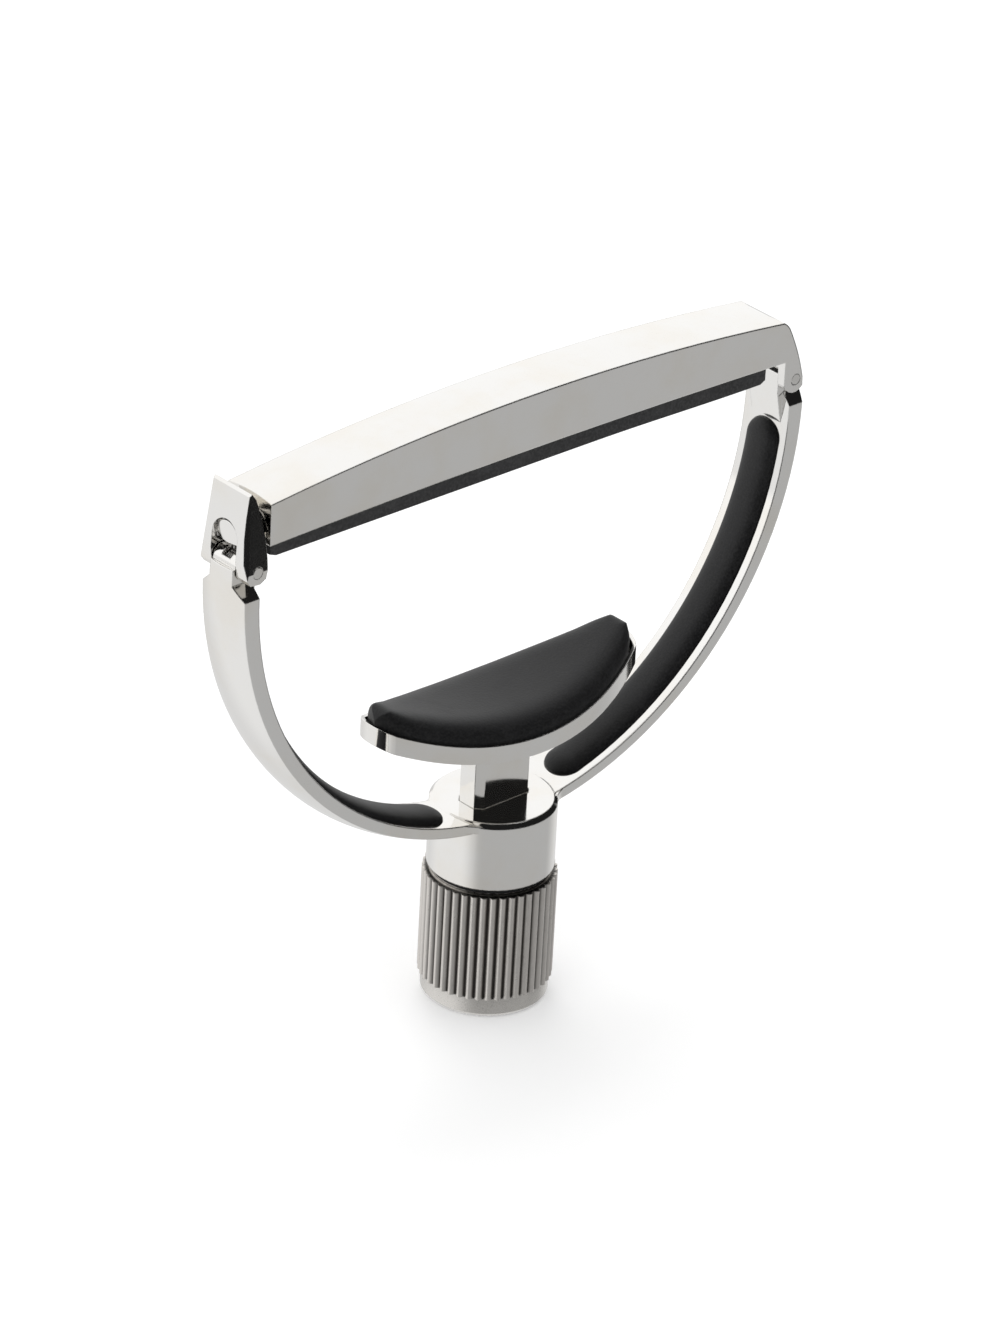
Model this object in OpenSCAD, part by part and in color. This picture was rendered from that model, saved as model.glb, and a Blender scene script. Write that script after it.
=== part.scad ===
// Yoke-style guitar capo: a polished band bent round the neck, a hinged string bar
// held shut by a fork latch, and a curved saddle raised from below by a fluted knob.
// Origin: knob axis at the knob's bottom face. X runs along the string bar (latch at -X,
// hinge at +X), Y along the neck, Z up towards the strings.

/* [Yoke] */
// Inner radius of the band
yoke_r = 32.9; // [31.5:0.1:35]
// Width of the band along the neck
band_w = 6; // [5.8:0.1:6.4]
// Height of the crown on the outside of the band
band_crown = 0.6; // [0.3:0.1:0.8]
// Width of the rubber strips let into the arms
arm_pad_w = 4; // [3:0.1:4.2]
// How far the rubber strips stand proud
arm_pad_h = 0.9; // [0.4:0.1:1.2]

/* [Knob and barrel] */
// Diameter over the flutes
knob_d = 13; // [12.8:0.1:14]
// Number of flutes
flutes = 42; // [30:1:48]
// Barrel and lower ring diameter
barrel_d = 12.3; // [12.2:0.1:12.6]

/* [Saddle] */
// Half length of the saddle
saddle_l = 16; // [14:0.1:17]
// Half width of the saddle at the middle
saddle_w = 6.5; // [5.8:0.1:7]
// Radius of the hollow that takes the back of the neck
saddle_r = 39; // [34:1:60]

/* [String bar] */
// Width of the string bar
bar_w = 6.1; // [5.9:0.1:6.4]
// Radius of the arched top
bar_top_r = 273; // [240:1:400]
// Thickness of the string rubber below the bar
string_pad_t = 1.6; // [1.2:0.1:2]

/* [Hidden] */
$fn = 96;
tiny = 0.01; // small overlap or gap between shapes
fit = 0.05; // clearance round moving parts

STEEL = [0.78, 0.78, 0.76];
NICKEL = [0.66, 0.64, 0.6];
RUBBER = [0.09, 0.09, 0.1];
BRASS = [0.75, 0.62, 0.35];

// levels on the knob axis
ring_top = 2.1; // smooth lower ring ends
knob_top = 13.5; // fluted sleeve ends
barrel_z0 = 14; // underside of the barrel
plate_z0 = 17.5; // underside of the guide plate
hub_z = 21.05; // top of the hub
plunger_z0 = 8;
plunger_top = 28.95;

// yoke arc
arc_z = 20.45 + yoke_r; // centre of the inner arc
outer_r = yoke_r + 1.7; // outer edge radius
outer_z = arc_z + 0.65; // its centre, a little higher

// pivots: hinge at +pivot_x, latch at -pivot_x
pin_r = 0.55;
pivot_x = yoke_r + 0.54;
pivot_z = arc_z + 3.1;

// ---- helpers
// radius of an arc from half its chord and its rise
function arc_radius(half_chord, rise) = (pow(half_chord, 2) + pow(rise, 2)) / (2 * rise);

// rod and slab centred on Y = 0; a slab's outline is drawn in X and Z
module yrod(r, w) { rotate([90, 0, 0]) cylinder(r = r, h = w, center = true); }
module yslab(w) { rotate([90, 0, 0]) linear_extrude(w, center = true) children(); }

// upright cylinder and tube on the knob axis
module cyl(r, z0, z1) { translate([0, 0, z0]) cylinder(r = r, h = z1 - z0); }
module ring(outer, inner, z0, z1) {
    difference() {
        cyl(outer, z0, z1);
        cyl(inner, z0 - 1, z1 + 1);
    }
}

// block between two opposite corners
module box(low, high) { translate(low) cube(high - low); }

// side is 1 for the hinge and -1 for the latch
module at_pivot(side) { translate([side * pivot_x, 0, pivot_z]) children(); }

// ---- yoke
barrel_r = barrel_d / 2;
barrel_bore_r = 5.35;
hub_chamfer = 0.4;
hinge_tongue = 2.0; // half widths of the two tongues
latch_tongue = 1.6;
eye_r = 1.25;
pad_crest_r = yoke_r - arm_pad_h; // crest of the rubber strips
pad_sink = 0.6; // depth of the slot behind them
pad_start = 16; // angles of the strip's ends, from straight down
pad_end = 83;
spring_slot_r = 1.0;
spring_slot_w = 1.2;

module band() {
    // crowned disc about the Y axis, hollowed by the inner arc
    crown_r = arc_radius(band_w / 2, band_crown);
    crest_r = outer_r + band_crown;
    difference() {
        translate([0, 0, outer_z]) rotate([90, 0, 0]) rotate_extrude($fn = 240)
            intersection() {
                translate([0, -band_w / 2]) square([crest_r, band_w]);
                translate([crest_r - crown_r, 0]) circle(r = crown_r, $fn = 180);
                translate([20, -10]) square([30, 20]);
            }
        translate([0, 0, arc_z]) rotate([90, 0, 0])
            cylinder(r = yoke_r, h = 30, center = true, $fn = 240);
        box([-60, -10, pivot_z], [60, 10, pivot_z + 60]);
    }
}

module tongue(half_w) {
    // eye round the hinge pivot, running down into the arm
    at_pivot(1) yrod(eye_r, 2 * half_w);
    yslab(2 * half_w) polygon([
        [pivot_x - eye_r, pivot_z], [pivot_x - eye_r, pivot_z - 1.6],
        [yoke_r - 0.42, pivot_z - 3.1], [yoke_r - 0.03, pivot_z - 5],
        [yoke_r + 0.8, pivot_z - 5], [pivot_x + 1.2, pivot_z - 2], [pivot_x + eye_r, pivot_z]]);
}

module shoulder_cut(half_w) {
    // sides of the arm tapering in to the tongue; outline in Y and Z
    for (side = [-1, 1]) translate([pivot_x - 5, 0, pivot_z]) rotate([90, 0, 90])
        linear_extrude(12) polygon([[side * half_w, 6], [side * half_w, -1.6],
            [side * 3.3, -3.1], [side * 8, -3.1], [side * 8, 6]]);
}

module hub_fillets() {
    // concave corners between the arms and the barrel
    fillet_r = 3;
    reach = fillet_r - 0.08; // sinks the fillet slightly into both faces
    centre_y = band_w / 2 + reach;
    centre_x = sqrt(pow(barrel_r + reach, 2) - centre_y * centre_y);
    inward = (barrel_r - 0.4) / (barrel_r + fillet_r); // brings the centre inside the barrel
    difference() {
        intersection() {
            translate([0, 0, 15]) linear_extrude(8)
                for (sx = [-1, 1], sy = [-1, 1]) scale([sx, sy]) difference() {
                    polygon([[3, band_w / 2 - 0.5], [centre_x, band_w / 2 - 0.5],
                        [centre_x, centre_y], [inward * centre_x, inward * centre_y], [3, 4]]);
                    translate([centre_x, centre_y]) circle(r = fillet_r);
                }
            translate([0, 0, outer_z]) yrod(outer_r - 0.2, 14);
        }
        translate([0, 0, arc_z]) yrod(yoke_r + 0.06, 14);
    }
}

module pad_slot(side) {
    // slot for a rubber strip, with round ends
    depth = 3; // starts this far inside the strip's crest
    translate([0, 0, arc_z]) {
        rotate([90, 0, 0]) rotate([0, 0, side > 0 ? -90 + pad_start : -90 - pad_end])
            rotate_extrude(angle = pad_end - pad_start, $fn = 240)
                translate([pad_crest_r - depth, -arm_pad_w / 2])
                    square([depth + arm_pad_h + pad_sink, arm_pad_w]);
        for (angle = [pad_start, pad_end]) rotate([0, side * (180 - angle), 0])
            cyl(arm_pad_w / 2, pad_crest_r - depth, yoke_r + pad_sink);
    }
}

module arm_pad(side) {
    // strip filling the slot, with a domed face
    dome_rise = 0.7;
    dome_r = arc_radius(arm_pad_w / 2, dome_rise);
    intersection() {
        pad_slot(side);
        translate([0, 0, arc_z]) rotate([90, 0, 0]) rotate_extrude($fn = 240)
            difference() {
                translate([pad_crest_r, -arm_pad_w]) square([5, 2 * arm_pad_w]);
                difference() {
                    translate([pad_crest_r - 1, -arm_pad_w]) square([1 + dome_rise, 2 * arm_pad_w]);
                    translate([pad_crest_r + dome_r, 0]) circle(r = dome_r, $fn = 120);
                }
            }
    }
}

module latch_spring_slot() {
    // open inwards and upwards
    y = spring_slot_w / 2;
    at_pivot(-1) {
        yrod(spring_slot_r, spring_slot_w);
        box([-spring_slot_r, -y, 0], [5 - spring_slot_r, y, 4]);
        box([0, -y, -spring_slot_r], [5, y, 4 - spring_slot_r]);
    }
}

module yoke_frame() color(STEEL) difference() {
    union() {
        difference() {
            band();
            shoulder_cut(hinge_tongue);
            mirror([1, 0, 0]) shoulder_cut(latch_tongue);
        }
        tongue(hinge_tongue);
        mirror([1, 0, 0]) tongue(latch_tongue);
        hub_fillets();
        cyl(barrel_r, barrel_z0, hub_z - hub_chamfer);
        translate([0, 0, hub_z - hub_chamfer])
            cylinder(r1 = barrel_r, r2 = barrel_r - hub_chamfer, h = hub_chamfer);
    }
    cyl(barrel_bore_r, barrel_z0 - 1, plate_z0);
    translate([0, 0, plate_z0 - 1]) linear_extrude(10) plunger_section(fit);
    for (side = [-1, 1]) {
        pad_slot(side);
        at_pivot(side) yrod(pin_r + fit, 20);
    }
    latch_spring_slot();
}

module arm_pad_right() color(RUBBER) arm_pad(1);
module arm_pad_left() color(RUBBER) arm_pad(-1);

// retaining bush pressed into the mouth of the barrel
module barrel_bush() color(BRASS) ring(barrel_bore_r, 4.56, barrel_z0, 15.7);

// ---- knob
core_r = 5.5; // inside the fluted sleeve
neck_r = 4.5;
well_r = 3.8; // takes the plunger
collar_r = 5.8; // plain top of the sleeve, and the washer on it
cap_r = 5.0;
cap_t = 0.7;
clip_inner_r = 4.2;
lead_r = 1.1; // lead screw
lead_head_r = 2.2;
lead_head_top = 2.0;
lead_top = 18.2; // its tapered tip starts

module knob_core() color(NICKEL) difference() {
    chamfer = 0.45;
    union() {
        cylinder(r1 = barrel_r - chamfer, r2 = barrel_r, h = chamfer);
        cyl(barrel_r, chamfer, ring_top);
        cyl(core_r, ring_top - tiny, knob_top - 0.15);
        cyl(neck_r, knob_top - 0.2, 17.25);
    }
    cyl(well_r, 3.4, 18);
    cyl(lead_r, 1, 4);
    cyl(lead_head_r, 0, lead_head_top);
    cyl(cap_r, -1, cap_t);
    ring(6, clip_inner_r, 15.9, 16.5); // clip groove
}

module knob_grip() color(NICKEL) difference() {
    steps = flutes * 8;
    flute_depth = 0.4;
    union() {
        translate([0, 0, ring_top]) linear_extrude(knob_top - ring_top - 0.25)
            polygon([for (i = [0 : steps - 1])
                let (a = 360 * i / steps,
                    r = knob_d / 2 - flute_depth * (1 - abs(cos(flutes * a / 2))))
                r * [cos(a), sin(a)]]);
        cyl(collar_r, knob_top - 0.3, knob_top);
    }
    cyl(core_r, 0, 20);
}

module knob_cap() color(NICKEL) cyl(cap_r, 0, cap_t);

module lead_screw() color(BRASS) {
    cyl(lead_head_r, cap_t + tiny, lead_head_top);
    cyl(lead_r, lead_head_top - tiny, lead_top);
    translate([0, 0, lead_top - tiny]) cylinder(r1 = lead_r, r2 = 0.8, h = 0.3);
}

module retaining_clip() color(STEEL) difference() {
    ring(5.15, clip_inner_r, 15.95, 16.45);
    box([-1.4, 0, 15], [1.4, 8, 18]); // opening, towards +Y
}

module friction_washer() color(RUBBER) ring(collar_r, 4.6, knob_top + 0.04, barrel_z0 - 0.04);

// ---- plunger and saddle
plunger_w = 6.9; // section along X and Y
plunger_d = 3.4;
plunger_chamfer = 0.68;
rim_z = 30.3; // saddle rim at mid length
hollow_z = rim_z + saddle_r; // centre of the hollow
tray_h = 1.8;
tray_wall = 0.35;
recess_r = saddle_r + tray_h - 0.8; // floor of the tray's recess
pad_gap = 0.02; // between the rubber and the recess
pad_rise = 2; // rubber above the rim
lens_r = arc_radius(saddle_l, saddle_w - 2); // long sides in plan
lens_end_r = 4; // rounding of the ends in plan
saddle_screw_r = 0.8;
saddle_screw_z0 = 25.6;

module plunger_section(gap = 0) {
    w = plunger_w / 2 + gap;
    d = plunger_d / 2 + gap;
    c = plunger_chamfer;
    polygon([[w, d - c], [w - c, d], [c - w, d], [-w, d - c],
        [-w, c - d], [c - w, -d], [w - c, -d], [w, c - d]]);
}

module plunger() color(STEEL) difference() {
    translate([0, 0, plunger_z0]) linear_extrude(plunger_top - plunger_z0) plunger_section();
    cyl(lead_r + fit, plunger_z0 - 1, 24.5); // way for the lead screw
    cyl(saddle_screw_r, saddle_screw_z0, 30);
}

module lens(inset) {
    // plan outline of the saddle
    intersection() {
        translate([0, lens_r - saddle_w]) circle(r = lens_r - inset, $fn = 240);
        translate([0, saddle_w - lens_r]) circle(r = lens_r - inset, $fn = 240);
        union() {
            square([2 * (saddle_l - 2), 20], center = true);
            for (side = [-1, 1]) translate([side * (saddle_l - lens_end_r), 0])
                circle(r = lens_end_r - inset);
        }
    }
}

module lens_prism(inset) { translate([0, 0, 20]) linear_extrude(20) lens(inset); }

module hollow(r) {
    translate([0, 0, hollow_z]) rotate([90, 0, 0])
        cylinder(r = r, h = 40, center = true, $fn = 300);
}

module lens_block(inset, r) {
    // saddle outline with a curved underside
    intersection() {
        lens_prism(inset);
        hollow(r);
    }
}

module saddle_countersink() {
    translate([0, 0, plunger_top + 0.05]) cylinder(r1 = 0.85, r2 = 1.4, h = 0.55);
}

module saddle_tray() color(STEEL) difference() {
    lens_block(0, saddle_r + tray_h);
    hollow(saddle_r);
    lens_block(tray_wall, recess_r); // recess for the rubber
    // seat on the plunger and the screw
    translate([0, 0, 20]) linear_extrude(plunger_top - 20) plunger_section();
    cyl(saddle_screw_r, 28, 31);
    saddle_countersink();
}

module saddle_screw() color(STEEL) {
    cyl(saddle_screw_r, saddle_screw_z0 + tiny, plunger_top + 0.06);
    // head, cut off just below the floor of the recess
    intersection() {
        saddle_countersink();
        cyl(3, 20, hollow_z - recess_r - tiny);
    }
}

module saddle_pad() color(RUBBER) difference() {
    lens_block(tray_wall + pad_gap, recess_r - pad_gap);
    hollow(saddle_r - pad_rise);
    // border stepped down twice: [height above the rim, inset]
    for (step = [[0.5, 0.8], [1.4, 1.4]]) difference() {
        hollow(saddle_r - step[0]);
        lens_prism(step[1]);
    }
}

// ---- latch, drawn about its pivot
latch_w = 3.3; // half width at the pin
latch_lean = 5.5; // lean of each side, narrower at the top
window_w = 1.74; // half width of its opening
window_h = 2.76; // where the arch of the opening springs, above the pivot

// side view [x, z]
LATCH_SIDE = [
    [-1.25, -0.55], [-0.85, -1.1], [0.25, -1.2], [0.95, -0.8], [1.14, 0.1],
    [1.14, 1.1], [1.0, 3.1], [0.55, 5.3], [0.05, 7.1], [-0.4, 7.75],
    [-0.68, 7.55], [-1.0, 5.5], [-1.25, 3.5], [-1.42, 1]];

module latch_side_cut(side) {
    // leaning side with a fine bevel along the outer corner
    y0 = side > 0 ? 0 : -5;
    translate([0, side * latch_w, 0]) rotate([side * latch_lean, 0, 0]) {
        translate([-5, y0, -5]) cube([10, 5, 20]);
        rotate([0, 4, 0]) translate([-1.15, 0, -5]) rotate([0, 0, side * 45])
            translate([-5, y0, 0]) cube([10, 5, 20]);
    }
}

module latch() color(STEEL) at_pivot(-1) difference() {
    yslab(2 * latch_w) polygon(LATCH_SIDE);
    for (side = [-1, 1]) latch_side_cut(side);
    // arched opening between the two legs
    translate([0, 0, window_h]) rotate([0, 90, 0]) cylinder(r = window_w, h = 10, center = true);
    difference() {
        box([-5, -window_w, -5], [5, window_w, window_h - tiny]);
        // web the spring leans on
        box([0.55, -window_w - 1, 1.4], [1.05, window_w + 1, 1.85]);
    }
    yrod(pin_r, 20);
}

module latch_pin() color(STEEL) at_pivot(-1) yrod(pin_r, 2 * latch_w);

module latch_spring() color(STEEL) at_pivot(-1) {
    coil_r = 0.75;
    coil_pitch = 0.24;
    arm_r = 0.12;
    for (i = [-1.5 : 1 : 1.5]) translate([0, i * coil_pitch, 0]) rotate([90, 0, 0])
        rotate_extrude($fn = 48) translate([coil_r, 0]) circle(r = 0.13, $fn = 16);
    // arm under the web of the latch and arm on the floor of the slot
    arm_y = 1.5 * coil_pitch;
    translate([0.38, arm_y, 0.62]) cylinder(r = arm_r, h = 1.2, $fn = 16);
    translate([0.1, -arm_y, -coil_r]) rotate([0, 90, 0]) cylinder(r = arm_r, h = 1.5, $fn = 16);
}

// ---- string bar
bar_z = arc_z + 5.7; // underside at mid length
bar_top_z = arc_z + 11.32; // top edges at mid length
bar_bottom_r = 1100;
bar_x0 = -(yoke_r - 1.0); // free end
leg_inner = bar_w / 2 - 0.95; // inner face of the clevis legs
clevis_r = 1.95;

channel_w = 2.05; // half width of the channel
channel_x0 = bar_x0 + 0.9;
channel_x1 = yoke_r - 3.7;
channel_z = bar_z + 3.1; // roof of the channel

nose_x0 = -pivot_x - 1.2; // tip of the nose
nose_r = 1.52;
nose_l = 4;
nose_arch_z = pivot_z + window_h; // level with the arch of the latch

carrier_x0 = bar_x0 + 5.5;
carrier_x1 = channel_x1 - 0.1;

screw_r = 0.6;
screw_head_r = 1.1;
nose_screw_x = bar_x0 + 3.2;
carrier_screw_x = [-14, 14];
nose_seat_z = bar_z + 0.5; // where the screw heads seat
carrier_seat_z = bar_z + 1.5;
screw_top = channel_z + 0.7;

// control points of the heel [x, z] from the hinge pivot: three quadratic curves end to end
HEEL = [[0.95, -0.2], [0.56, 1.5], [-0.12, 3.25], [-0.62, 4.5],
    [-1.15, 5.55], [-1.75, 6.7], [-3.5, 6.9]];

module bar_outline() {
    // side view: free end, blank ends above and below, clevis legs and rounded heel
    pivot = [pivot_x, pivot_z];
    polygon(concat(
        [[bar_x0, bar_top_z + 2], [bar_x0, bar_z - 2],
            [pivot_x - 1.49, bar_z - 2], [pivot_x - 1.49, pivot_z - 0.4]],
        [for (a = [200 : 20 : 320]) pivot + [-0.12, 0] + 1.38 * [cos(a), sin(a)]],
        [for (i = [0 : 2 : 4], k = [0 : 7]) let (t = (k + 0.5) / 8)
            pivot + pow(1 - t, 2) * HEEL[i] + 2 * t * (1 - t) * HEEL[i + 1] + t * t * HEEL[i + 2]],
        [[pivot_x - 3.6, bar_top_z + 2]]));
}

module bar_blank() {
    // side view cut by the crowned and arched top
    crown = 0.3;
    crown_r = arc_radius(bar_w / 2, crown);
    intersection() {
        yslab(bar_w) bar_outline();
        translate([0, 0, bar_top_z - bar_top_r]) rotate([90, 0, 0]) rotate_extrude($fn = 1440)
            intersection() {
                translate([bar_top_r - 30, -bar_w / 2]) square([31, bar_w]);
                translate([bar_top_r + crown - crown_r, 0]) circle(r = crown_r, $fn = 180);
                translate([bar_top_r - 14, -10]) square([20, 20]);
            }
    }
}

module string_bar() color(STEEL) difference() {
    bar_blank();
    // arched underside, kept off the legs
    intersection() {
        translate([0, 0, bar_z - bar_bottom_r]) rotate([90, 0, 0])
            cylinder(r = bar_bottom_r, h = 20, center = true, $fn = 2880);
        box([bar_x0 - 1, -5, pivot_z - 3], [pivot_x - 1.5, 5, pivot_z + 9]);
    }
    // channel for the carrier and the nose block
    box([channel_x0, -channel_w, bar_z - 4], [channel_x1, channel_w, channel_z]);
    // way out for the nose
    box([bar_x0 - 1, -nose_r - 0.04, bar_z - 1], [bar_x0 + 3, nose_r + 0.04, bar_z + 1.82]);
    // clevis
    at_pivot(1) {
        yrod(clevis_r, 2 * leg_inner);
        box([-clevis_r, -leg_inner, -5], [6 - clevis_r, leg_inner, 0]);
        yrod(pin_r, 20);
    }
    for (x = concat([nose_screw_x], carrier_screw_x)) translate([x, 0, 0])
        cyl(screw_r, bar_z, screw_top);
}

module hinge_pin() color(STEEL) at_pivot(1) yrod(pin_r, bar_w);

module screw_seat(x, seat_z) {
    // screw hole and counterbore from below
    translate([x, 0, 0]) {
        cyl(screw_r, bar_z - 2, channel_z + 1);
        cyl(screw_head_r, bar_z - 2, seat_z);
    }
}

module bar_nose() color(STEEL) difference() {
    union() {
        box([channel_x0, -channel_w, bar_z - 0.2], [channel_x0 + 4.4, channel_w, channel_z]);
        // domed tongue, arched on top to sit under the arch of the latch
        intersection() {
            union() {
                box([nose_x0, -nose_r, bar_z - 0.4], [nose_x0 + nose_l, nose_r, nose_arch_z]);
                translate([nose_x0, 0, nose_arch_z]) rotate([0, 90, 0])
                    cylinder(r = nose_r, h = nose_l);
            }
            translate([nose_x0 + nose_l, 0, bar_z + 0.58]) sphere(r = nose_l);
            box([nose_x0 - 1, -3, bar_z - 0.4], [nose_x0 + 5, 3, bar_z + 3.6]);
        }
    }
    screw_seat(nose_screw_x, nose_seat_z);
}

module pad_carrier() color(BRASS) difference() {
    box([carrier_x0, -channel_w, bar_z + 0.1], [carrier_x1, channel_w, channel_z]);
    // keyway for the rubber
    box([carrier_x0 - 1, -0.8, bar_z - 1], [carrier_x1 + 1, 0.8, bar_z + 0.9]);
    for (x = carrier_screw_x) screw_seat(x, carrier_seat_z);
}

module bar_screw(x, head_z, seat_z) {
    translate([x, 0, 0]) {
        cyl(screw_head_r, head_z, seat_z);
        cyl(screw_r, seat_z - tiny, screw_top);
    }
}

module bar_screws() color(STEEL) {
    bar_screw(nose_screw_x, bar_z - 0.1, nose_seat_z);
    for (x = carrier_screw_x) bar_screw(x, bar_z + 0.95, carrier_seat_z);
}

module string_pad() color(RUBBER) {
    // slab with a flat underside and a top that follows the arched underside of the bar
    arch_r = bar_bottom_r - tiny;
    steps = 32;
    x0 = bar_x0 + 0.15;
    x1 = yoke_r - 3.4;
    z = bar_z - string_pad_t - 0.05;
    yslab(6) polygon(concat([[x1, z], [x0, z]],
        [for (i = [0 : steps]) let (x = x0 + (x1 - x0) * i / steps)
            [x, bar_z - bar_bottom_r + sqrt(arch_r * arch_r - x * x)]]));
    // key held by the carrier
    box([carrier_x0 + 0.3, -0.78, bar_z - 0.6], [carrier_x1 - 0.3, 0.78, bar_z + 0.85]);
}

yoke_frame();
arm_pad_left();
arm_pad_right();
barrel_bush();
knob_core();
knob_grip();
knob_cap();
lead_screw();
retaining_clip();
friction_washer();
plunger();
saddle_tray();
saddle_pad();
saddle_screw();
latch();
latch_pin();
latch_spring();
string_bar();
bar_nose();
pad_carrier();
string_pad();
hinge_pin();
bar_screws();
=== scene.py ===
"""A guitar capo: satin, mirror and brass finishes on the CAD pieces, and modelled rubbers.

The knob axis is Z through the origin and the floor is z = 0. The arms of the yoke rise on
the left (-X) and right (+X), and the string bar runs along X above the saddle.
Shapes are in millimetres; texture scales, bump distances, lights and floor are in metres.
"""
import math
import bmesh
import bpy
from mathutils import Matrix, Vector, noise


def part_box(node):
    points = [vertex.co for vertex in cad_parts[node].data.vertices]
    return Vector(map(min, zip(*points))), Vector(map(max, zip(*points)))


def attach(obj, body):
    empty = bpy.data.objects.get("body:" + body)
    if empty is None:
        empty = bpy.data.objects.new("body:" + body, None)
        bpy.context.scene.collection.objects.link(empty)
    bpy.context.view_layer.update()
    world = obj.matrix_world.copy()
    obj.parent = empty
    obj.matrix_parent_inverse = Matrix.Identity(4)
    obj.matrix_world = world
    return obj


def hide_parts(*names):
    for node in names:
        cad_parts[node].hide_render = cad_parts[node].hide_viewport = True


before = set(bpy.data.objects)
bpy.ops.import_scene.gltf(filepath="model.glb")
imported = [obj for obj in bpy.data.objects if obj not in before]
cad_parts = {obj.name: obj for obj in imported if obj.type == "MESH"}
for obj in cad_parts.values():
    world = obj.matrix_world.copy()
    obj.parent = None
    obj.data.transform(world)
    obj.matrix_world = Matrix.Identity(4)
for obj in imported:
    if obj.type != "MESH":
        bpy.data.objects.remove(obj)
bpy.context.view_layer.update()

MM = 0.001


# ---------------------------------------------------------------- shader helpers
def rgba(value):
    """Colour with alpha from a grey level or an RGB tuple; sockets pass through."""
    if isinstance(value, float):
        value = (value,) * 3
    return (*value, 1.0) if isinstance(value, tuple) else value


def shade(colour, factor):
    return tuple(channel * factor for channel in colour)


class Tree:
    """Short calls that add nodes to the shader tree of a material or world."""

    def __init__(self, owner):
        owner.use_nodes = True
        self.tree = owner.node_tree
        self.tree.nodes.clear()

    def fill(self, node, inputs):
        """Link or set the inputs of a node, keyed by name or index."""
        for key, value in inputs.items():
            if isinstance(value, bpy.types.NodeSocket):
                self.tree.links.new(value, node.inputs[key])
            else:
                node.inputs[key].default_value = value

    def add(self, kind, inputs={}, **settings):
        node = self.tree.nodes.new(kind)
        for key, value in settings.items():
            setattr(node, key, value)
        self.fill(node, inputs)
        return node

    def calc(self, operation, a, b=0.0):
        return self.add("ShaderNodeMath", {0: a, 1: b, 2: 0.0}, operation=operation).outputs[0]

    def plus(self, a, b):
        return self.calc("ADD", a, b)

    def times(self, a, b):
        return self.calc("MULTIPLY", a, b)

    def dot(self, vector, direction):
        node = self.add("ShaderNodeVectorMath", {0: vector, 1: direction},
                        operation="DOT_PRODUCT")
        return node.outputs["Value"]

    def stretch(self, vector, by):
        return self.add("ShaderNodeVectorMath", {0: vector, 1: by},
                        operation="MULTIPLY").outputs[0]

    def step(self, value, start, end, low=0.0, high=1.0, shape="SMOOTHSTEP"):
        """Go from low to high as the value goes from start to end."""
        inputs = {0: value, 1: start, 2: end, 3: low, 4: high}
        return self.add("ShaderNodeMapRange", inputs, interpolation_type=shape).outputs[0]

    def span(self, value, low, high):
        return self.step(value, 0.0, 1.0, low, high, shape="LINEAR")

    def mix(self, amount, under, over):
        return self.add("ShaderNodeMix", {0: amount, 6: rgba(under), 7: rgba(over)},
                        data_type="RGBA").outputs[2]

    def noise(self, vector, scale=1.0, detail=3.0, rough=0.5, distortion=0.0):
        return self.add("ShaderNodeTexNoise", {
            "Vector": vector, "Scale": scale, "Detail": detail,
            "Roughness": rough, "Distortion": distortion}).outputs[0]

    def bevel(self, radius):
        """Normal rounded over edges by a radius in millimetres."""
        return self.add("ShaderNodeBevel", {"Radius": radius * MM}, samples=6).outputs[0]

    def bump(self, height, strength, distance, normal=None):
        node = self.add("ShaderNodeBump", {
            "Strength": strength, "Distance": distance, "Height": height})
        if normal is not None:
            self.fill(node, {"Normal": normal})
        return node.outputs[0]

    def geometry(self, output):
        return self.add("ShaderNodeNewGeometry").outputs[output]

    def split(self, vector):
        return self.add("ShaderNodeSeparateXYZ", {0: vector}).outputs

    def axis_distance(self):
        """Distance from the knob axis, in millimetres."""
        x, y, _ = self.split(self.geometry("Position"))
        squares = self.plus(self.times(x, x), self.times(y, y))
        return self.times(self.calc("SQRT", squares), 1 / MM)


def new_material(name):
    """Material, its tree, its Principled shader and the object coordinates."""
    material = bpy.data.materials.new(name)
    t = Tree(material)
    shader = t.add("ShaderNodeBsdfPrincipled")
    t.add("ShaderNodeOutputMaterial", {0: shader.outputs[0]})
    return material, t, shader, t.add("ShaderNodeTexCoord").outputs["Object"]


# ---------------------------------------------------------------- materials
def mirror_metal(name, edge_radius, tint=(0.885, 0.875, 0.855), rough=0.035, wear_and_crest_highlight=1.0):
    """Mirror plate with haze patches, hairline polishing marks and a slight waviness."""
    material, t, shader, place = new_material(name)
    haze = t.noise(place, scale=140.0, detail=4.0, rough=0.6)
    hairlines = t.noise(t.stretch(place, by=(300.0, 9000.0, 2600.0)), detail=2.0, rough=0.6)
    smear = t.noise(place, scale=420.0, detail=5.0, rough=0.65, distortion=1.2)
    edge = t.step(t.geometry("Pointiness"), start=0.53, end=0.62)
    dull = t.plus(t.step(haze, start=0.52, end=0.74, high=0.030 * wear_and_crest_highlight),
                  t.step(smear, start=0.58, end=0.78, high=0.045 * wear_and_crest_highlight))
    dull = t.plus(dull, t.step(hairlines, start=0.62, end=0.8, high=0.030 * wear_and_crest_highlight))
    edge_dulling = 0.06 * wear_and_crest_highlight
    dull = t.plus(dull, t.times(edge, edge_dulling))
    warmth = (0.985, 0.965, 0.93)  # channel factors in the haze
    warm = tuple(channel * factor for channel, factor in zip(tint, warmth))
    waves = t.bump(t.noise(place, scale=95.0, detail=2.0), strength=0.08, distance=0.00012,
                   normal=t.bevel(edge_radius))
    t.fill(shader, {
        "Metallic": 1.0,
        "Roughness": t.plus(dull, rough),
        "Base Color": t.mix(t.step(haze, start=0.4, end=0.7), tint, warm),
        "Normal": t.bump(hairlines, strength=0.04, distance=0.00001, normal=waves)})
    return material


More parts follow.
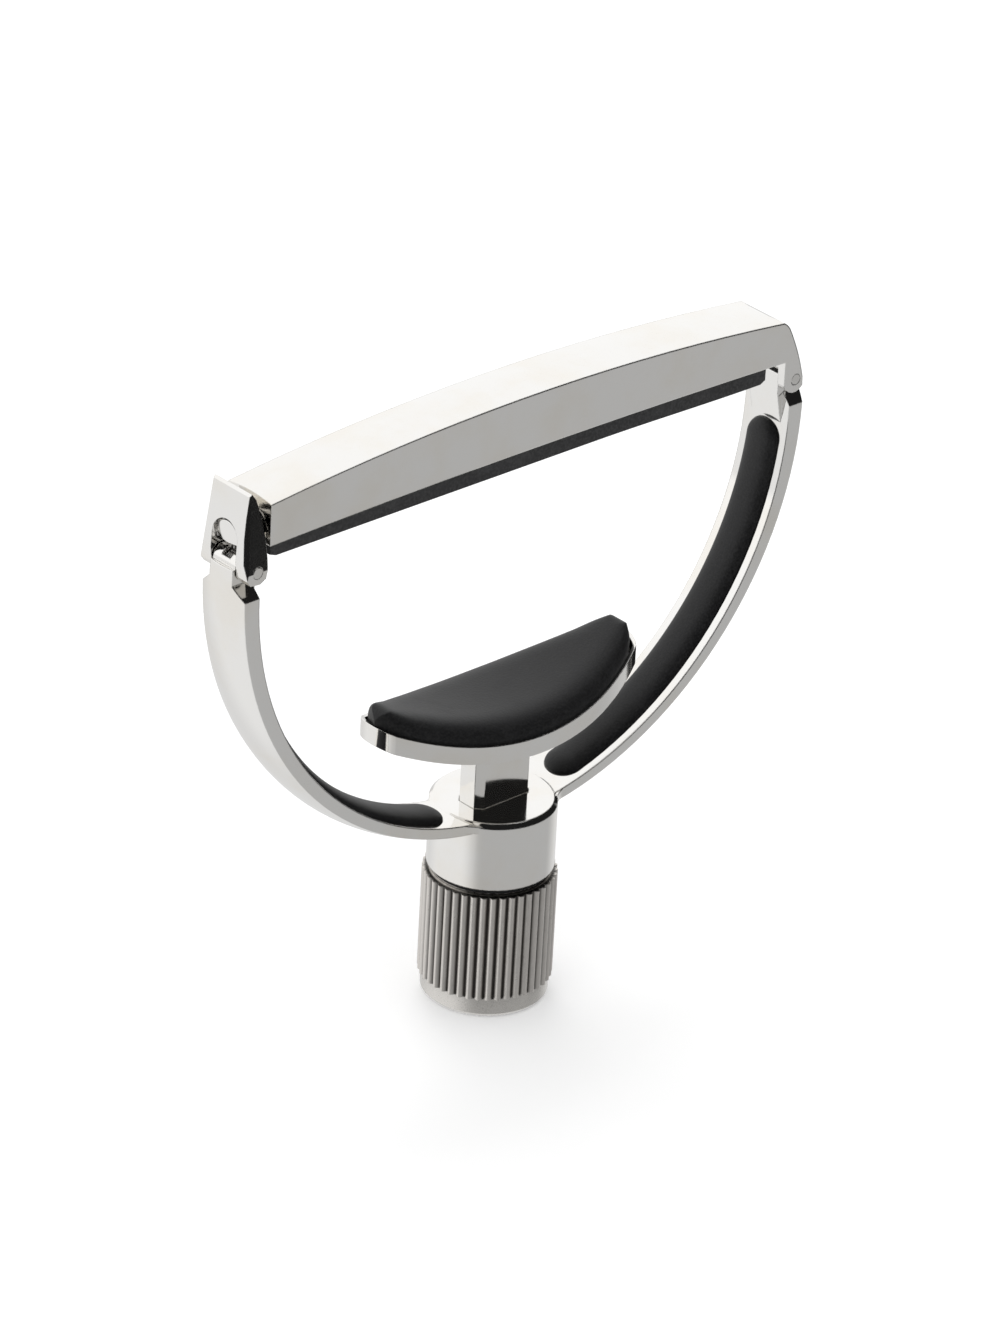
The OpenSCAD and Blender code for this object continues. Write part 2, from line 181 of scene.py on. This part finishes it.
def satin_metal(name, tint, rough, grain_axis=0, fluted=False):
    """Grained satin metal, with painted shade in the hollows and a painted highlight on the
    crests.
    """
    material, t, shader, place = new_material(name)
    along, across = 700.0, 5200.0  # grain frequency
    grain_scale = tuple(along if axis == grain_axis else across for axis in range(3))
    grain = t.noise(t.stretch(place, by=grain_scale), rough=0.6)
    cloud = t.noise(place, scale=260.0, detail=4.0, rough=0.6)
    speck = t.noise(place, scale=3600.0, detail=2.0, rough=0.6)
    pointiness = t.geometry("Pointiness")
    # painted highlight on convex crests and painted shade in concave hollows, both from
    # pointiness
    crest = t.step(pointiness, start=0.50, end=0.60)
    hollow = t.step(pointiness, start=0.50, end=0.40)
    wear_and_crest_highlight = painted_hollow_shade = 0.55  # most of the painted crest highlight and painted hollow shade let through
    colour = t.mix(t.step(cloud, start=0.35, end=0.7), tint, shade(tint, factor=0.88))
    # painted highlight on the crests, then painted shade in the hollows
    colour = t.mix(t.times(crest, wear_and_crest_highlight), colour, shade(tint, factor=1.35))
    colour = t.mix(t.times(hollow, painted_hollow_shade), colour, shade(tint, factor=0.42))
    if fluted:
        # painted shade in the valleys of the flutes, painted highlight on their crests
        distance = t.axis_distance()
        valley = t.times(t.step(distance, start=6.40, end=6.12),
                         t.step(distance, start=5.85, end=6.0))
        colour = t.mix(valley, colour, shade(tint, factor=0.20))
        # painted highlight on the ring of flute crests
        colour = t.mix(t.step(distance, start=6.38, end=6.50, high=0.55), colour,
                       shade(tint, factor=1.4))
    brushed = t.bump(grain, strength=0.22, distance=0.00002, normal=t.bevel(radius=0.08))
    t.fill(shader, {
        "Metallic": 1.0,
        "Base Color": colour,
        "Roughness": t.plus(t.span(grain, low=rough - 0.05, high=rough + 0.11),
                            t.step(speck, start=0.55, end=0.75, high=0.08)),
        "Normal": t.bump(speck, strength=0.16, distance=0.00002, normal=brushed)})
    return material


def rubber(name, dark, light, rough):
    """Moulded rubber: fine pebble grain, dusty patches and a soft grazing sheen."""
    material, t, shader, place = new_material(name)
    grain = t.noise(place, scale=5200.0, rough=0.62)
    pebble = t.add("ShaderNodeTexVoronoi", {"Vector": place, "Scale": 3400.0})
    dust = t.noise(place, scale=330.0, detail=4.0, rough=0.6)
    colour = t.mix(t.step(grain, start=0.35, end=0.72), dark, light)
    pebbled = t.bump(pebble.outputs["Distance"], strength=0.28, distance=0.00003)
    t.fill(shader, {
        "Base Color": t.mix(t.step(dust, start=0.5, end=0.78, high=0.35), colour,
                            shade(light, factor=1.5)),
        "Roughness": t.plus(t.span(grain, low=rough - 0.08, high=rough + 0.1),
                            t.step(dust, start=0.5, end=0.75, high=0.06)),
        "Specular IOR Level": 0.38,
        "Sheen Weight": 0.06,
        "Sheen Roughness": 0.45,
        "Normal": t.bump(grain, strength=0.35, distance=0.00003, normal=pebbled)})
    return material


def dress(material, *nodes):
    """Give CAD nodes one smooth-shaded material."""
    for node in nodes:
        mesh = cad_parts[node].data
        mesh.materials.clear()
        mesh.materials.append(material)
        for polygon in mesh.polygons:
            polygon.use_smooth = True
            polygon.material_index = 0


dress(mirror_metal("polished_plate", edge_radius=0.20), "yoke_frame", "string_bar")
dress(mirror_metal("polished_plate_small_parts", edge_radius=0.13),
      "latch", "bar_nose", "plunger")
dress(mirror_metal("polished_plate_thin_rim", edge_radius=0.09), "saddle_tray")
dress(mirror_metal("pin_steel", edge_radius=0.12, tint=(0.84, 0.83, 0.81), rough=0.07, wear_and_crest_highlight=1.4),
      "latch_pin", "hinge_pin", "retaining_clip", "saddle_screw", "bar_screws")
dress(satin_metal("satin_nickel", tint=(0.60, 0.575, 0.545), rough=0.27, grain_axis=2,
                  fluted=True), "knob_grip")
dress(satin_metal("satin_nickel_turned", tint=(0.64, 0.62, 0.59), rough=0.22),
      "knob_core", "knob_cap")
dress(satin_metal("machined_brass", tint=(0.62, 0.46, 0.22), rough=0.24),
      "lead_screw", "barrel_bush", "pad_carrier")
dress(satin_metal("spring_wire", tint=(0.42, 0.41, 0.40), rough=0.2), "latch_spring")
RUBBER = rubber("black_rubber", dark=(0.006, 0.006, 0.0066), light=(0.017, 0.017, 0.018),
                rough=0.50)
dress(RUBBER, "friction_washer")
STRING_RUBBER = rubber("string_rubber", dark=(0.016, 0.016, 0.017),
                       light=(0.036, 0.036, 0.037), rough=0.62)


# ---------------------------------------------------------------- mesh helpers
def box_mm(node):
    low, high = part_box(node)
    return low / MM, high / MM


def rubber_piece(name, skin, material, body, node):
    """Smooth mesh from (vertices, faces) that takes the place of a CAD node."""
    vertices, faces = skin
    mesh = bpy.data.meshes.new(name)
    mesh.from_pydata([tuple(c * MM for c in vertex) for vertex in vertices], [], faces)
    mesh.validate()
    bm = bmesh.new()
    bm.from_mesh(mesh)
    bmesh.ops.remove_doubles(bm, verts=bm.verts, dist=1e-7)
    bmesh.ops.recalc_face_normals(bm, faces=bm.faces)
    bm.to_mesh(mesh)
    bm.free()
    for polygon in mesh.polygons:
        polygon.use_smooth = True
    mesh.materials.append(material)
    piece = bpy.data.objects.new(name, mesh)
    bpy.context.scene.collection.objects.link(piece)
    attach(piece, body)
    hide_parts(node)
    return piece


def shell(nu, nv, top, bottom):
    """Closed skin from two nu x nv grids of points, joined by a wall round their borders."""
    vertices = [surface(i / (nu - 1), j / (nv - 1))
                for surface in (top, bottom) for i in range(nu) for j in range(nv)]
    under = nu * nv  # index offset of the bottom grid
    faces = []
    for i in range(nu - 1):
        for j in range(nv - 1):
            a = i * nv + j
            faces.append((a, a + 1, a + nv + 1, a + nv))
            faces.append((under + a, under + a + nv, under + a + nv + 1, under + a + 1))
    rim = [i * nv for i in range(nu)] + [(nu - 1) * nv + j for j in range(1, nv)]
    rim += [i * nv + nv - 1 for i in range(nu - 2, -1, -1)] + list(range(nv - 2, 0, -1))
    for a, b in zip(rim, rim[1:] + rim[:1]):
        faces.append((a, b, under + b, under + a))
    return vertices, faces


# ---------------------------------------------------------------- saddle rubber
PAD_LENGTH = box_mm("saddle_pad")[1].x     # half length
TRAY_LOW, TRAY_HIGH = box_mm("saddle_tray")
TRAY_LENGTH, TRAY_WIDTH = TRAY_HIGH.x, TRAY_HIGH.y   # half sizes
INSET = TRAY_LENGTH - PAD_LENGTH
HOLLOW_R = 39.0            # hollow at the rim of the tray, curved along X
TRAY_DEPTH = 1.8           # from there to the lowest point of the tray
HOLLOW_Z = TRAY_LOW.z + (HOLLOW_R + TRAY_DEPTH)      # centre of the hollow
FLOOR_DEPTH = 0.96         # underside of the pad below the rim
RISE = 2.0                 # crest of the pad above the rim
EDGE_HEIGHT = 0.06         # border of the top above the rim
SIDE_ROUND, END_ROUND = 3.6, 1.9   # reach of the rounding from the border
MIN_SIDE = 0.3             # least width taken for the side rounding
ROUND_POWER = 3

# plan outline: two long arcs with rounded ends
SHOULDER = TRAY_WIDTH - 2  # rise of a long arc from the ends to the middle
LENS_R = (TRAY_LENGTH * TRAY_LENGTH + SHOULDER ** 2) / (2 * SHOULDER)
END_R = 4.0
END_ARC = 2                # stretch at each end limited by the end radius
TIP, TIP_POWER = 2.6, 2.6  # length and roundness of the closing tip
MIN_HALF_WIDTH = 0.02


def saddle_half_width(x):
    width = math.sqrt(max(0.0, (LENS_R - INSET) ** 2 - x * x)) - (LENS_R - TRAY_WIDTH)
    if abs(x) > TRAY_LENGTH - END_ARC:
        along = abs(x) - TRAY_LENGTH + END_R
        width = min(width, math.sqrt(max(0.0, (END_R - INSET) ** 2 - along ** 2)))
    tip = max(0.0, (abs(x) - PAD_LENGTH + TIP) / TIP)
    return max(MIN_HALF_WIDTH, width * max(0.0, 1 - tip ** TIP_POWER) ** (1 / TIP_POWER))


def saddle_plan(u, v):
    x = PAD_LENGTH * math.sin((u - 0.5) * math.pi)
    width = saddle_half_width(x)
    return x, width * math.sin((v - 0.5) * math.pi), width


def saddle_top(u, v):
    x, y, width = saddle_plan(u, v)
    side = 1 - min(1.0, (width - abs(y)) / min(SIDE_ROUND, max(width, MIN_SIDE)))
    end = 1 - min(1.0, (PAD_LENGTH - abs(x)) / END_ROUND)
    drop = max((RISE - EDGE_HEIGHT) * (1 - math.sqrt(max(0.0, 1 - q ** ROUND_POWER)))
               for q in (side, end))
    z = HOLLOW_Z - math.sqrt((HOLLOW_R - RISE) ** 2 - x * x) - drop
    ripple, frequency, layer = 0.012, 0.35, 3.1   # height, per mm, slice of the noise
    z += ripple * noise.noise(Vector((x * frequency, y * frequency, layer)))
    return x, y, z


def saddle_bottom(u, v):
    x, y, _ = saddle_plan(u, v)
    return x, y, HOLLOW_Z - math.sqrt((HOLLOW_R + FLOOR_DEPTH) ** 2 - x * x)


rubber_piece("saddle_rubber", shell(121, 61, saddle_top, saddle_bottom), RUBBER,
             "saddle", "saddle_pad")

# ---------------------------------------------------------------- arm rubbers
ARM_WIDTH = box_mm("arm_pad_right")[1].y   # half width
ARM_R = 32.9               # inner face of the yoke arms
ARM_Z = 53.35              # centre of that arc
ARM_START, ARM_STOP = math.radians(16), math.radians(83)   # from straight down
ARM_END = ARM_WIDTH / ARM_R   # angle taken by a round end
ARM_EDGE, ARM_CROWN = 0.08, 0.80   # height at the border, and the crown added to it
ARM_CROWN_POWER = 2.3
ARM_SUNK = 0.55            # back face, sunk into the arm
ARM_MIN_WIDTH = 0.02


def arm_surface(sign, inner):
    """Face toward the arc centre, or the back face, on the side given by the sign of X."""
    def surface(u, v):
        # u runs along the strip with points gathered at the round ends
        along = 0.5 - 0.5 * math.cos(u * math.pi)
        angle = (ARM_START - ARM_END) + (ARM_STOP - ARM_START + 2 * ARM_END) * along
        beyond = max(0.0, ARM_START - angle, angle - ARM_STOP) * ARM_R
        width = math.sqrt(max(0.0, ARM_WIDTH * ARM_WIDTH - beyond * beyond))
        y = max(width, ARM_MIN_WIDTH) * math.sin((v - 0.5) * math.pi)
        off_centre = min(1.0, math.hypot(beyond, y) / ARM_WIDTH)
        crown = math.sqrt(max(0.0, 1 - off_centre ** ARM_CROWN_POWER))
        height = ARM_EDGE + ARM_CROWN * crown
        r = ARM_R - height if inner else ARM_R + ARM_SUNK
        return sign * r * math.sin(angle), y, ARM_Z - r * math.cos(angle)
    return surface


for sign, side in ((1, "right"), (-1, "left")):
    skin = shell(141, 31, arm_surface(sign, True), arm_surface(sign, False))
    rubber_piece("arm_rubber_" + side, skin, RUBBER, "yoke", "arm_pad_" + side)

# ---------------------------------------------------------------- string rubber
STRIP_LOW, STRIP_HIGH = box_mm("string_pad")
BAR_R = 1100.0             # slight arc of the top along X
BAR_Z = 59.05              # crest of that arc
BAR_GAP = 0.01             # taken off the arc radius
CORNER_R, CORNER_STEPS = 0.14, 10   # lower long edges
STRIP_STEPS = 90
TUCK = 0.22                # rounding of the two ends
SAG, SAG_START, SAG_LENGTH = 0.30, 8, 20   # underside drops toward +X


def smooth01(t):
    t = max(0.0, min(1.0, t))
    return t * t * (3 - 2 * t)


def strip_skin():
    # half section in (y, height above the underside), None marking the top
    half = [(STRIP_HIGH.y, None)]
    for i in range(CORNER_STEPS + 1):
        a = math.pi / 2 * i / CORNER_STEPS
        half.append((STRIP_HIGH.y - CORNER_R + CORNER_R * math.cos(a),
                     CORNER_R - CORNER_R * math.sin(a)))
    ring = half + [(-y, height) for y, height in reversed(half)]
    vertices, faces = [], []
    for i in range(STRIP_STEPS + 1):
        x = STRIP_LOW.x + (STRIP_HIGH.x - STRIP_LOW.x) * (i / STRIP_STEPS)
        end = min(x - STRIP_LOW.x, STRIP_HIGH.x - x)
        tuck = TUCK * (1 - min(1.0, end / TUCK)) ** 2
        top = BAR_Z - BAR_R + math.sqrt((BAR_R - BAR_GAP) ** 2 - x * x)
        sag = SAG * smooth01((x - SAG_START) / SAG_LENGTH)
        for y, height in ring:
            z = top if height is None else STRIP_LOW.z + height - sag + tuck
            vertices.append((x, y - math.copysign(min(tuck, abs(y)) * 0.5, y), z))
    k = len(ring)
    for i in range(STRIP_STEPS):
        for j in range(k):
            a, b = i * k + j, i * k + (j + 1) % k
            faces.append((a, b, b + k, a + k))
    last = STRIP_STEPS * k
    faces += [tuple(range(k)), tuple(range(last + k - 1, last - 1, -1))]
    return vertices, faces


strip = rubber_piece("string_rubber_strip", strip_skin(), STRING_RUBBER, "bar", "string_pad")
strip.modifiers.new("split", "EDGE_SPLIT").split_angle = math.radians(40)

# ---------------------------------------------------------------- camera
AZIMUTH = math.radians(43.04)    # view direction, from +Y toward +X
DIP = math.radians(28.08)        # looking down
ROLL = math.radians(3.11)
# world origin as the camera sees it, in millimetres
ORIGIN_RIGHT, ORIGIN_UP, ORIGIN_AHEAD = -1.836, -32.109, 745.02


def add_camera():
    ahead = Vector((math.sin(AZIMUTH) * math.cos(DIP), math.cos(AZIMUTH) * math.cos(DIP),
                    -math.sin(DIP)))
    level = Vector((math.cos(AZIMUTH), -math.sin(AZIMUTH), 0.0))
    upright = level.cross(ahead)
    c, s = math.cos(ROLL), math.sin(ROLL)
    right = c * level + s * upright
    up = -s * level + c * upright
    place = -(right * ORIGIN_RIGHT + up * ORIGIN_UP + ahead * ORIGIN_AHEAD) * MM
    data = bpy.data.cameras.new("camera")
    camera = bpy.data.objects.new("camera", data)
    bpy.context.scene.collection.objects.link(camera)
    turn = Matrix((right, up, -ahead)).transposed().to_4x4()
    camera.matrix_world = Matrix.Translation(place) @ turn
    data.sensor_fit = "VERTICAL"
    data.sensor_height = 24.0
    data.lens = 140.928364
    data.shift_x = -0.0018772727
    data.shift_y = -0.0067098485
    data.clip_start = 0.01
    data.clip_end = 50.0
    bpy.context.scene.camera = camera


add_camera()


# ---------------------------------------------------------------- floor and light
def add_floor():
    bpy.ops.mesh.primitive_circle_add(vertices=96, radius=6.0, fill_type="NGON",
                                      location=(0, 0, 0))
    floor = bpy.context.object
    floor.name = "floor"
    material, t, shader, place = new_material("pale_floor")
    t.fill(shader, {
        "Base Color": t.mix(t.noise(place, scale=30.0), under=0.90, over=0.93),
        "Roughness": 0.95,
        "Emission Color": rgba(1.0),
        "Emission Strength": 0.22,
        "Specular IOR Level": 0.0})
    floor.data.materials.append(material)
    floor.visible_glossy = False


def add_world():
    """White to the camera; a light tent with dark gaps for the polished metal."""
    world = bpy.data.worlds.new("studio")
    bpy.context.scene.world = world
    t = Tree(world)
    ray = t.add("ShaderNodeTexCoord").outputs["Generated"]
    _, y, z = t.split(ray)

    def patch(under, toward, start, end, level):
        return t.mix(t.step(t.dot(ray, toward), start, end), under, level)

    low = patch(0.46, toward=(-0.602, 0.645, -0.47), start=0.35, end=0.85, level=0.86)
    low = patch(low, toward=(0.50, 0.62, -0.60), start=0.55, end=0.95, level=0.74)
    # upper part: dark toward -Y, a bright wall toward +Y, patches toward -X and overhead
    high = t.mix(t.step(y, start=0.08, end=0.40), under=0.012, over=1.06)
    high = patch(high, toward=(-0.93, 0.25, 0.25), start=0.92, end=0.98, level=0.9)
    high = patch(high, toward=(0.10, 0.12, 0.988), start=0.84, end=0.93, level=0.95)
    # the border between them climbs toward +Y
    border = t.step(y, start=-0.10, end=0.30, low=-0.38, high=-0.05)
    tent = t.mix(t.step(t.calc("SUBTRACT", z, border), start=-0.03, end=0.03), low, high)
    rays = t.add("ShaderNodeLightPath").outputs
    tent = t.mix(rays["Is Diffuse Ray"], tent, over=0.85)
    colour = t.mix(rays["Is Camera Ray"], tent, over=1.0)
    background = t.add("ShaderNodeBackground", {0: colour})
    t.add("ShaderNodeOutputWorld", {0: background.outputs[0]})


def add_light(name, location, size, power):
    """Disk light aimed at the capo, unseen in the metal."""
    data = bpy.data.lights.new(name, "AREA")
    data.shape = "DISK"
    data.size = size
    data.energy = power
    light = bpy.data.objects.new(name, data)
    bpy.context.scene.collection.objects.link(light)
    light.location = location
    aim = Vector((0, 0, 0.04)) - Vector(location)
    light.rotation_euler = aim.to_track_quat("-Z", "Y").to_euler()
    light.visible_glossy = False


add_floor()
add_world()
add_light("key", location=(0.35, 0.55, 0.75), size=0.5, power=1.6)
add_light("fill", location=(-0.6, -0.3, 0.6), size=0.6, power=0.5)

view = bpy.context.scene.view_settings
view.view_transform = "Standard"
view.look = "None"
view.exposure = 0.0
view.gamma = 1.0
